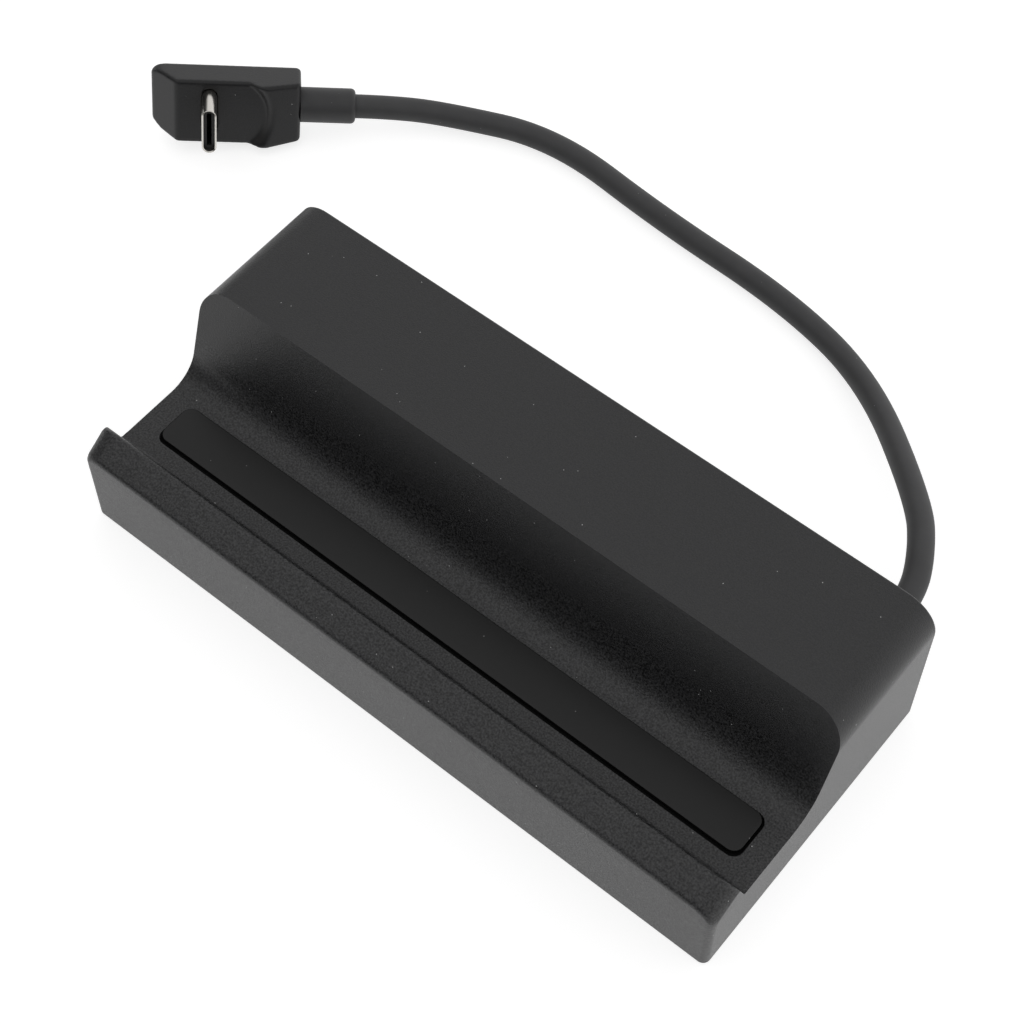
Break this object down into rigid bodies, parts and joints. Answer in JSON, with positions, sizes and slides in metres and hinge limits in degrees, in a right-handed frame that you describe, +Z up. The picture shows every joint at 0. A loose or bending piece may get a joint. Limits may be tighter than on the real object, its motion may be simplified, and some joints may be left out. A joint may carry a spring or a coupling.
{
  "type": "handheld console dock",
  "caption": "Low moulded desk dock with a padded cradle channel before a raised block, sockets in its back wall and a captive cable that ends in a right-angle plug.",
  "frame": {"origin": "on the table under the middle of the housing, at the underside of the foot", "axes": "+X along the cradle channel towards the cable end, +Y from the cradle towards the sockets in the back wall, +Z up"},
  "size_m": [0.1656, 0.1041, 0.029],
  "materials": {
    "housing": "finely spark-textured",
    "cover": "finely spark-textured",
    "pad": "smooth satin",
    "foot": "matt",
    "cable": "satin",
    "sleeve": "satin",
    "plug": "finely spark-textured",
    "socket_steel": "nickel-plated",
    "insulator": "moulded",
    "board": "lacquered",
    "chip": "moulded",
    "ferrite": "sintered",
    "can": "satin",
    "spreader": "rolled",
    "thermal_pad": "soft",
    "screw": "black zinc"
  },
  "bodies": {
    "root": {"top_shell": "housing", "bottom_cover": "cover", "base_foot": "foot", "cradle_pad": "pad", "housing_screws": "screw", "main_board": "board", "board_screws": "screw", "hub_chip": "chip", "video_chip": "chip", "network_chip": "chip", "power_chip": "chip", "memory_chip": "chip", "network_transformer": "chip", "power_inductor": "ferrite", "bulk_capacitors": "can", "crystals": "can", "thermal_pads": "thermal_pad", "heat_spreader": "spreader", "power_socket_shell": "socket_steel", "power_socket_insert": "insulator", "video_socket_a_shell": "socket_steel", "video_socket_a_insert": "insulator", "video_socket_b_shell": "socket_steel", "video_socket_b_insert": "insulator", "network_socket_shell": "socket_steel", "network_socket_insert": "insulator", "data_socket_1_shell": "socket_steel", "data_socket_1_insert": "insulator", "data_socket_2_shell": "socket_steel", "data_socket_2_insert": "insulator", "data_socket_3_shell": "socket_steel", "data_socket_3_insert": "insulator", "cable_grommet": "sleeve", "cable": "cable", "cable_tail": "cable", "tail_connector": "insulator", "plug_sleeve": "sleeve", "plug_body": "plug", "plug_shell": "socket_steel", "plug_insert": "insulator"}
  },
  "joints": []
}
